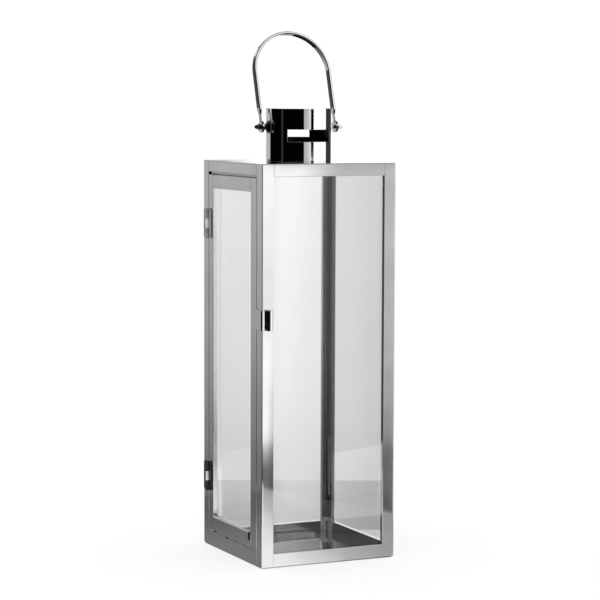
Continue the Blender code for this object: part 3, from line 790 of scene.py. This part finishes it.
def make_door_frame():
    for node, sy in (("door_stile_hinge", 1), ("door_stile_latch", -1)):
        low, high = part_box(node)
        start = Vector((low.x, (high.y if sy > 0 else low.y) + sy * DOOR_REACH, low.z))
        section = channel_section(high.y - low.y + DOOR_REACH)
        bm = add_prism(bmesh.new(), section, start, -Y * sy, X, Z * (high.z - low.z))
        stile = finish_mesh(f"{node}_sheet", bm, STEEL["door"], SHEAR_EDGE)
        # the hinge stile's front-facing return gets the painted highlight
        if sy > 0:
            give_look(stile, RETURN_PAINTED_HIGHLIGHT, lambda face: face.normal.y < -0.9)
        stand_for(stile, node)
    for node, rise in (("door_rail_bottom", 1), ("door_rail_top", -1)):
        low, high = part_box(node)
        start = Vector((low.x, low.y - GAP, low.z if rise > 0 else high.z))
        section = channel_section(high.z - low.z)
        bm = add_prism(bmesh.new(), section, start, Z * rise, X, Y * (high.y - low.y + 2 * GAP))
        stand_for(finish_mesh(f"{node}_sheet", bm, STEEL["door_rail"], SHEAR_EDGE), node)


def make_latch():
    """A strap from the latch stile round the front corner post, ending in a finger curl."""
    low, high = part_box("latch_strap")
    plane = low.x + LATCH_T / 2
    elbow = plane + LATCH_BEND_R
    curl = (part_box("post_front_left")[0].x + LATCH_CURL_X, plane - LATCH_CURL_R)
    middle = [(plane, high.y)]
    middle += arc((elbow, elbow), LATCH_BEND_R, 180, 270, 14)
    middle += arc(curl, LATCH_CURL_R, 90, -200, 48)
    left, right = [], []
    for i, point in enumerate(middle):
        before = Vector(middle[max(i - 1, 0)])
        after = Vector(middle[min(i + 1, len(middle) - 1)])
        tangent = (after - before).normalized()
        normal = Vector((-tangent.y, tangent.x)) * LATCH_T / 2
        left.append(Vector(point) + normal)
        right.append(Vector(point) - normal)
    bm = add_prism(bmesh.new(), left + right[::-1], Vector((0, 0, low.z)), X, Y, Z * (high.z - low.z))
    stand_for(finish_mesh("latch_sheet", bm, STEEL["latch"], 0.25 * mm, 3, 25, 40), "latch_strap")


# ---- hinges


def make_hinges():
    for level in ("lower", "upper"):
        kinds = ("pin", "frame_leaf", "door_leaf")
        pin, frame_leaf, door_leaf = (f"hinge_{level}_{kind}" for kind in kinds)
        pin_low, pin_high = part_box(pin)
        axis = (pin_low + pin_high) / 2
        low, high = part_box(frame_leaf)
        third = (high.z - low.z) / 3
        make_leaf(frame_leaf, axis, 1, high.y - axis.y, low.z, third, (0, 2))
        make_leaf(door_leaf, axis, -1, axis.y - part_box(door_leaf)[0].y, low.z, third, (1,))
        make_pin(pin, axis, (pin_high.z - pin_low.z) / 2)


def make_leaf(node, axis, sy, width, foot, third, knuckles):
    """A hinge leaf with rounded corners, whose sheet curls round the pin at its knuckles."""
    clear = KNUCKLE_R + GAP + 0.1 * mm
    height = 3 * third
    outline = [(clear, 0), (width, 0), (width, height), (clear, height)]
    outline = rounded(outline, {1: LEAF_CORNER_R, 2: LEAF_CORNER_R})
    start = Vector((axis.x + KNUCKLE_R - LEAF_T, axis.y, foot))
    bm = add_prism(bmesh.new(), outline, start, Y * sy, Z, X * LEAF_T)
    inner = KNUCKLE_R - LEAF_T
    reach = clear + 0.4 * mm
    section = [(-KNUCKLE_R, reach)]
    section += arc((0, 0), KNUCKLE_R, 180, 470, 30)
    section += arc((0, 0), inner, 470, 180, 30)
    section += [(-inner, reach)]
    for k in knuckles:
        start = Vector((axis.x, axis.y, foot + k * third + (GAP / 2 if k > 0 else 0)))
        tall = third - GAP / 2 - (GAP / 2 if k == 1 else 0)
        add_prism(bm, section, start, -X, Y * sy, Z * tall)
    # the upper hinge's leaves get painted light, the lower hinge's painted shade
    leaf = finish_mesh(f"{node}_sheet", bm, HINGE_LIT_AND_SHADED[node.split("_")[1]], 0.12 * mm, 2, 25, 50)
    # the door leaf's middle knuckle gets the painted highlight
    if knuckles == (1,):
        give_look(leaf, KNUCKLE, lambda face: (face.center - axis).xy.length < 1.1 * KNUCKLE_R)
    stand_for(leaf, node)


def make_pin(node, axis, reach):
    neck = reach - PIN_HEAD_H
    upper = [(PIN_R, neck)]
    upper += [(PIN_HEAD_R * math.cos(a), neck + PIN_HEAD_H * math.sin(a)) for a in quarter(8)]
    profile = [(r, -h) for r, h in upper[::-1]] + upper
    profile[0] = (0, profile[0][1])
    profile[-1] = (0, profile[-1][1])
    bm = add_turned(bmesh.new(), profile, axis, Z, 32)
    # the pin takes its hinge's painted light or painted shade
    stand_for(finish_mesh(f"{node}_rod", bm, HINGE_LIT_AND_SHADED[node.split("_")[1]], smooth=35), node)


def make_stud():
    low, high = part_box("sill_stud")
    middle = (low + high) / 2
    radius = (high.y - low.y) / 2
    tall = high.x - low.x
    profile = [(0, -GAP), (radius, -GAP)]
    for a in quarter(6):
        profile.append((radius * (0.75 + 0.25 * math.cos(a)), tall * (0.5 + 0.5 * math.sin(a))))
    bm = add_turned(bmesh.new(), profile + [(0, tall)], Vector((high.x, middle.y, middle.z)), -X, 28)
    stand_for(finish_mesh("sill_stud_head", bm, RUBBER, smooth=40), "sill_stud")


# ---- chimney


def make_chimney():
    """A deep cup, closed at the top, with two vents. It stands on the roof."""
    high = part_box("chimney")[1]
    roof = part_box("top_plate")[1].z
    radius = high.x
    inner = radius - SHEET
    levels = [roof, roof + VENT_LOW["front"], roof + VENT_LOW["back"], roof + VENT_HIGH]
    bend = CHIMNEY_EDGE_R
    outer = [(radius, level) for level in levels]
    outer += arc((radius - bend, high.z - bend), bend, 0, 90, 8)
    lining = [(inner, level) for level in levels] + [(inner, high.z - SHEET)]
    steps = 288
    bm = bmesh.new()
    angles = (2 * math.pi * k / steps for k in range(steps))
    turns = [Vector((math.cos(a), math.sin(a), 0)) for a in angles]
    outside = [[bm.verts.new(way * r + Z * z) for way in turns] for r, z in outer]
    inside = [[bm.verts.new(way * r + Z * z) for way in turns] for r, z in lining]
    rows = {"front": (1, 2), "back": (2,)}
    for rings, is_lining in ((outside, False), (inside, True)):
        for i, (a, b) in enumerate(zip(rings, rings[1:])):
            for k in range(steps):
                n = (k + 1) % steps
                if i not in rows.get(vent_at(k, steps), ()):
                    bm.faces.new((a[k], a[n], b[n], b[k])).material_index = is_lining
    bm.faces.new(outside[-1])
    bm.faces.new(inside[-1]).material_index = 1
    for k in range(steps):
        n = (k + 1) % steps
        here, beside = vent_at(k, steps), vent_at(n, steps)
        rims = [(0, k, n)]
        if here:
            rims += [(rows[here][0], k, n), (3, k, n)]
        for level, p, q in rims:
            bm.faces.new((outside[level][p], outside[level][q], inside[level][q], inside[level][p]))
        if here != beside:
            for i in rows[here or beside]:
                bm.faces.new((outside[i][n], outside[i + 1][n], inside[i + 1][n], inside[i][n]))
    cup = finish_mesh("chimney_cup", bm, STEEL["chimney"], 0.12 * mm, 2, 30, 50)
    # the inner wall and the inside of the top get the painted shade
    cup.data.materials.append(CHIMNEY_INSIDE_PAINTED_SHADE)
    stand_for(cup, "chimney")


def vent_at(k, steps):
    """Which vent, if any, the k-th strip of the wall lies in."""
    angle = (k + 0.5) * 360 / steps
    if abs(angle - 90) < VENT_HALF_ANGLE:
        return "back"
    if abs(angle - 270) < VENT_HALF_ANGLE:
        return "front"
    return None


def nut_ring(bm, origin, way, radius, level, chamfer=None, steps=48):
    """A ring of vertices round way: a circle, a hexagon if chamfer is given, or a point if radius is 0.

    chamfer is how fast the hexagon's level changes from its flats to its corners.
    """
    if not radius:
        return [bm.verts.new(origin + way * level)]
    flat_r = radius * math.cos(math.pi / 6)
    ring = []
    for k in range(steps):
        angle = 2 * math.pi * k / steps
        reach, rise = radius, 0
        if chamfer is not None:
            off = (angle + math.pi / 6) % (math.pi / 3) - math.pi / 6
            reach = flat_r / math.cos(math.pi / 6 - abs(off))
            rise = chamfer * (reach - flat_r)
        turn = Matrix.Rotation(angle, 3, way)
        ring.append(bm.verts.new(origin + way * (level + rise) + turn @ Z * reach))
    return ring


def span_x(node):
    """How far from the lantern's middle the node begins and ends along X."""
    return sorted(abs(corner.x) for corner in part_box(node))


def make_pivots():
    """On each side a boss, a screw from the inside, a jam nut and a cap nut."""
    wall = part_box("chimney")[1].x
    for name, way in (("left", -X), ("right", X)):
        low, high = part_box(f"pivot_nut_{name}")
        origin = Vector((0, 0, (low.z + high.z) / 2))
        # the left side's parts get painted shade, the right side's painted light
        look = FASTENER_LIT_AND_SHADED[name]

        low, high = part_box(f"pivot_boss_{name}")
        rim_r = (high.y - low.y) / 2
        tip = span_x(f"pivot_boss_{name}")[1]
        foot = wall - 0.8 * mm
        boss = [(BORE_R, foot), (rim_r, foot), (rim_r, wall + 0.7 * mm)]
        boss += arc((rim_r - 0.6 * mm, wall + 0.9 * mm), 0.6 * mm, 10, 70, 5)
        boss += [(3.6 * mm, tip - 0.35 * mm), (3.2 * mm, tip), (BORE_R, tip)]
        bm = add_turned(bmesh.new(), boss, origin, way, 64)
        stand_for(finish_mesh(f"boss_{name}", bm, look, smooth=30), f"pivot_boss_{name}")

        near, far = span_x(f"pivot_screw_{name}")
        seat = wall - SHEET
        socket = near + 0.9 * mm
        screw = [(0, socket), (1.1 * mm, socket), (1.2 * mm, near)]
        for a in quarter(8):
            rise = 1.4 * mm * (1 - math.cos(a))
            screw.append((SCREW_HEAD_R * (0.55 + 0.45 * math.sin(a)), near + rise))
        screw += [(SCREW_HEAD_R, seat), (SCREW_R, seat)]
        screw += [(SCREW_R, far - 0.3 * mm), (SCREW_R - 0.3 * mm, far), (0, far)]
        bm = add_turned(bmesh.new(), screw, origin, way, 40)
        stand_for(finish_mesh(f"screw_{name}", bm, look, smooth=40), f"pivot_screw_{name}")

        near, far = span_x(f"pivot_nut_{name}")
        near -= GAP
        thread_r = SCREW_R + 0.05 * mm
        rows = [(thread_r, near), (NUT_FLAT, near), (NUT_R, near, NUT_CHAMFER)]
        rows += [(NUT_R, far, -NUT_CHAMFER), (NUT_FLAT, far), (thread_r, far)]
        bm = bmesh.new()
        add_rings(bm, [nut_ring(bm, origin, way, *row) for row in rows], closed=True)
        stand_for(finish_mesh(f"nut_{name}", bm, look, smooth=25), f"pivot_nut_{name}")

        near, far = span_x(f"cap_nut_{name}")
        shoulder = near + 2.4 * mm
        rows = [(0, near + 4.5 * mm), (BORE_R, near + 4.3 * mm), (BORE_R, near), (NUT_FLAT, near)]
        rows += [(NUT_R, near, NUT_CHAMFER), (NUT_R, shoulder, -NUT_CHAMFER)]
        for a in quarter(12)[:-1]:
            rise = (far - shoulder) * math.sin(a) ** 1.15
            rows.append((DOME_R * math.cos(a) ** 0.85, shoulder + rise))
        bm = bmesh.new()
        add_rings(bm, [nut_ring(bm, origin, way, *row) for row in rows + [(0, far)]])
        stand_for(finish_mesh(f"cap_nut_{name}_turned", bm, look, smooth=28), f"cap_nut_{name}")


# ---- handle


def bar_size(distance):
    """Width and thickness of the bar at a distance along it from the nearer screw."""
    blend = min(max((distance - NECK_LOW) / (NECK_HIGH - NECK_LOW), 0), 1)
    blend = blend * blend * (3 - 2 * blend)
    flare = max(0, 1 - distance / (8.5 * mm)) ** 2 * 6 * mm
    return NECK_W + (BAR_W - NECK_W) * blend + flare, NECK_T + (BAR_T - NECK_T) * blend


def bar_stations():
    """Centre, inward normal and distance to the nearer screw, along the upright handle's own XZ plane."""
    radius = HANDLE_HALF_W - BAR_T / 2
    rises = [4.2 * mm, 5 * mm, 6 * mm, 7 * mm, 8.5 * mm, 10 * mm]
    rises += [NECK_LOW + (NECK_HIGH - NECK_LOW) * k / 12 for k in range(13)]
    rises += [30 * mm, 45 * mm, HANDLE_LEG - 3 * mm]
    left = [(Vector((-radius, 0, s)), X, s) for s in rises]
    bow = []
    steps = 120
    for k in range(steps + 1):
        angle = math.pi * (1 - k / steps)
        out = Vector((math.cos(angle), 0, math.sin(angle)))
        bow.append((Z * HANDLE_LEG + out * radius, -out, HANDLE_LEG + radius))
    right = [(Vector((radius, 0, s)), -X, s) for s in reversed(rises)]
    return left + bow + right


def make_handle():
    """A flat bar with necked ends, let into round eyes. It leans backwards at rest."""
    lean = Matrix.Rotation(-HANDLE_LEAN, 3, "X")
    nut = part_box("pivot_nut_left")
    origin = Vector((0, 0, (nut[0].z + nut[1].z) / 2))
    bm = bmesh.new()
    rings = []
    for centre, inward, distance in bar_stations():
        width, thick = bar_size(distance)
        w, t = width / 2, thick / 2
        outline = rounded([(-w, -t), (w, -t), (w, t), (-w, t)], dict.fromkeys(range(4), 0.36 * thick), 5)
        rings.append([bm.verts.new(origin + lean @ (centre + Y * p[0] + inward * p[1])) for p in outline])
    add_capped(bm, rings)
    middle = HANDLE_HALF_W - BAR_T / 2
    low, high = middle - EYE_T / 2, middle + EYE_T / 2
    rim = EYE_R - EYE_EDGE
    disc = [(BORE_R, low)] + arc((rim, low + EYE_EDGE), EYE_EDGE, -90, 0, 5)
    disc += arc((rim, high - EYE_EDGE), EYE_EDGE, 0, 90, 5) + [(BORE_R, high)]
    for way in (-X, X):
        add_turned(bm, disc, origin, way, 72)
    handle = finish_mesh("handle_bar", bm, STEEL["handle"], smooth=30)
    broad = lean @ Y
    # the rounded edges between the broad faces get the painted shade
    give_look(handle, HANDLE_EDGE_PAINTED_SHADE, lambda face: 0.2 < abs(face.normal.dot(broad)) < 0.97)
    stand_for(handle, "carry_handle")


# ---- floor, light and camera


def make_camera():
    data = bpy.data.cameras.new("camera")
    data.lens = CAMERA_LENS
    data.sensor_width = SENSOR_W
    camera = bpy.data.objects.new("camera", data)
    bpy.context.scene.collection.objects.link(camera)
    yaw, pitch, roll = CAMERA_YAW, CAMERA_PITCH, CAMERA_ROLL
    ahead = Vector((math.sin(yaw) * math.cos(pitch), math.cos(yaw) * math.cos(pitch), -math.sin(pitch)))
    right = ahead.cross(Z).normalized()
    up = right.cross(ahead)
    tilted_right = right * math.cos(roll) + up * math.sin(roll)
    tilted_up = up * math.cos(roll) - right * math.sin(roll)
    turn = Matrix((tilted_right, tilted_up, -ahead)).transposed().to_4x4()
    camera.matrix_world = Matrix.Translation(CAMERA_PLACE) @ turn
    bpy.context.scene.camera = camera


def make_world():
    world = bpy.data.worlds.new("studio")
    world.use_nodes = True
    background = world.node_tree.nodes["Background"]
    background.inputs["Color"].default_value = (1, 1, 1, 1)
    background.inputs["Strength"].default_value = 1.02
    bpy.context.scene.world = world
    bpy.context.scene.view_settings.view_transform = "Standard"


def make_floor():
    """A pale light table, which the lantern hardly shades."""
    bm = bmesh.new()
    bmesh.ops.create_grid(bm, x_segments=1, y_segments=1, size=60)
    look = Nodes("pale_floor")
    look.set(Base_Color=(0.3, 0.3, 0.3, 1), Roughness=0.9, Specular_IOR_Level=0.0)
    look.set(Emission_Color=(1, 1, 1, 1), Emission_Strength=0.725)
    look.mat.cycles.emission_sampling = "NONE"
    floor = finish_mesh("floor", bm, look.mat)
    floor.location.z = CAD_BOX[0][2] - 0.2 * mm
    floor.visible_glossy = False
    floor.visible_transmission = False


def stage_card(name, bm, look, glossy=True, transmission=True):
    """A studio card that only shows in reflections or through glass."""
    look.mat.name = f"{name}_glow"
    card = finish_mesh(name, bm, look.mat)
    card.visible_camera = False
    card.visible_diffuse = False
    card.visible_shadow = False
    card.visible_glossy = glossy
    card.visible_transmission = transmission


def wall(name, start, end, look, low=WALL_LOW, high=WALL_HIGH, radius=WALL_R, **seen):
    """A curved card round the lantern, between two headings in degrees from +X towards +Y."""
    steps = max(2, round(abs(end - start) / 3))
    bm = bmesh.new()
    rows = []
    for level in (low, high):
        turns = (math.radians(start + (end - start) * k / steps) for k in range(steps + 1))
        rows.append([bm.verts.new((radius * math.cos(a), radius * math.sin(a), level)) for a in turns])
    for k in range(steps):
        bm.faces.new((rows[0][k], rows[0][k + 1], rows[1][k + 1], rows[1][k]))
    stage_card(name, bm, look, **seen)


def flat_card(name, corners, look, **seen):
    bm = bmesh.new()
    bm.faces.new([bm.verts.new(c) for c in corners])
    stage_card(name, bm, look, **seen)


def make_reflections():
    """What the steel mirrors: a grey backdrop, a dark room on the camera's side and bright cards."""
    levels = (Z, [(-0.32, 0.20), (-0.16, 0.23), (0.09, 0.46), (0.4, 0.60)])
    for name, start, end, edge in (("behind", 80, 106, BEHIND_LINE), ("side", 106, 126, SIDE_LINE)):
        name = f"backdrop_{name}"
        wall(name, start, end, Glow().graded(levels), high=edge, transmission=False)
        wall(f"{name}_top", start, end, Glow().even(0.09), edge, SHADE_TOP, transmission=False)
    wall("inner_shade", 80, 126, Glow().even(0.07), high=SHADE_TOP, glossy=False)
    pit = [(WALL_R * x, WALL_R * y, WALL_LOW) for x, y in ((-1, -1), (1, -1), (1, 1), (-1, 1))]
    flat_card("pit", pit, Glow().even(0.01), transmission=False)
    middle = CAMERA_PLACE.dot(ASIDE)
    brighter = (ASIDE, [(middle - 0.14, 1.0), (middle - 0.04, 2.4), (middle + 0.2, 2.4)])
    wall("backdrop_right", 49, 80, Glow().graded(levels, brighter), transmission=False)

    # beside and behind the camera, where the inner faces also mirror them through the panes
    for name, start, end, strength in (
        ("dark_room_left", 126, 182.8, 0.001),
        ("doorway", 182.8, 189, 0.045),
        ("dark_room_front", 189, 263.8, 0.001),
        ("window_card", 299.5, 356.5, 1.5),
        ("dark_room_right", 356.5, 409, 0.05),
    ):
        wall(name, start, end, Glow().even(strength))
    across = Vector((math.cos(math.radians(8)), math.sin(math.radians(8)), 0))
    side = Glow().graded(
        (across, [(-0.17, 0.6), (0.2, 0.88), (0.32, 1.3), (0.57, 1.35)]),
        (Z, [(-0.3, 0.18), (-0.15, 0.18), (-0.07, 1.0)]),
    )
    wall("side_card", 263.8, CARD_HEADING, side)
    fall = [(-0.3, 0.09), (-0.17, 0.14), (-0.11, 0.24), (-0.085, 0.42), (0.06, 0.64), (0.2, 0.70)]
    far = Glow().graded((Z, fall + [(0.39, 0.74)]))
    wall("far_card", CARD_HEADING, 299.5, far, high=POST_LINE)
    wall("light_stand", CARD_HEADING - 2, 299.5, Glow().even(0.002), POST_LINE, SHADE_TOP, WALL_R - 0.01)

    heading = math.radians(296)
    outward = Vector((math.cos(heading), math.sin(heading), 0))
    sideways = Vector((-outward.y, outward.x, 0))
    place = outward * (WALL_R - 0.06)
    lean = (sideways - Z * 0.185).normalized()
    edge = place.dot(lean) + (sideways * -0.054 + Z * 0.375).dot(lean)
    tones = [(-0.2, 1.45), (0.05, 1.45), (0.15, 1.18), (0.25, 1.27), (0.4, 1.5)]
    soft = Glow().graded((Z, tones))
    soft.faded(lean, [(edge - 0.03, 1.0), (edge + 0.03, 0.0)])
    left, right, foot, top = -0.30, 0.15, -0.10, POST_LINE - 0.004
    corners = [(left, foot), (right, foot), (right, top), (left, top)]
    corners = [place + sideways * side + Z * level for side, level in corners]
    flat_card("soft_card", corners, soft)

    slope, front = 0.156, -0.125
    tones = [(-0.06, 1.28), (-0.03, 1.2), (0.01, 0.9), (0.03, 0.7), (0.07, 0.54), (0.16, 0.44)]
    stops = [(distance + slope * front, tone) for distance, tone in tones]
    table = Glow().graded((Vector((1, slope, 0)), stops))
    corners = [(-0.3, -0.6, 0), (0.1013, -0.6, 0), (0.2862, -0.074, 0), (-0.3, -0.074, 0)]
    flat_card("table_front", corners, table)
    table = Glow().graded((Y, [(0.05, 0.255), (0.25, 0.156)]))
    corners = [(-0.5, -0.07, 0), (-0.078, -0.07, 0), (-0.078, 0.36, 0), (-0.5, 0.36, 0)]
    flat_card("table_side", corners, table)


def make_view_through():
    """What shows through the panes: the backdrop and the table's far part, a little darker than white."""
    far_tones = [(-0.0288, 0.945), (-0.0044, 0.965), (0.0053, 0.91), (0.0221, 0.90), (0.0318, 0.81)]
    near_tones = [(-0.0288, 0.825), (-0.0044, 0.965), (0.0053, 0.91), (0.0221, 0.74), (0.0318, 0.665)]
    reach = 0.9  # of each card to both sides

    def lateral(distance, tones):
        """A ramp of the tones by their sideways slope from the camera, for a card at this distance."""
        depth = distance - CAMERA_PLACE.dot(AHEAD)
        return ASIDE, [(CAMERA_PLACE.dot(ASIDE) + slope * depth, tone) for slope, tone in tones]

    def show(name, look, corners):
        """A card that only shows through glass, with corners (distance behind the lantern, level, side)."""
        places = [AHEAD * distance + ASIDE * side + Z * level for distance, level, side in corners]
        flat_card(name, places, look, glossy=False)

    def sides(low, high, half):
        """The corners of a card that runs from low to high, and by half to both sides."""
        return (low, -half), (low, half), (high, half), (high, -half)

    levels = [(-0.37, 0.885), (-0.30, 0.92), (-0.23, 0.968), (-0.14, 0.99), (0.04, 1.0), (0.18, 1.025)]
    screen = Glow().graded((Z, levels), lateral(SCREEN_AT, far_tones))
    show("screen", screen, [(SCREEN_AT, *pair) for pair in sides(-reach, SCREEN_TOP, reach)])
    aside = lateral(0.3, near_tones)
    table = [(0.12, 0.335, 0.66, 0.74), (0.335, 0.459, 0.745, 0.78)]
    for i, (start, end, first, last) in enumerate(table):
        look = Glow().graded((AHEAD, [(start, first), (end, last)]), aside)
        show(f"table_far_{i}", look, [(far, 0, side) for far, side in sides(start, end, reach)])
    upper = Glow().graded((ASIDE, [(-0.14, 0.6), (0.0, 0.3), (0.13, 0.05)]))
    show("upper_wall", upper, [(SCREEN_AT, *pair) for pair in sides(SCREEN_TOP, 2.5, 1.6)])


# ---- build

make_camera()
make_world()
make_floor()
make_reflections()
make_view_through()
make_plates()
make_posts()
make_rails()
make_panes()
make_door_frame()
make_corner_clips()
make_door_clips()
make_latch()
make_hinges()
make_stud()
make_chimney()
make_pivots()
make_handle()
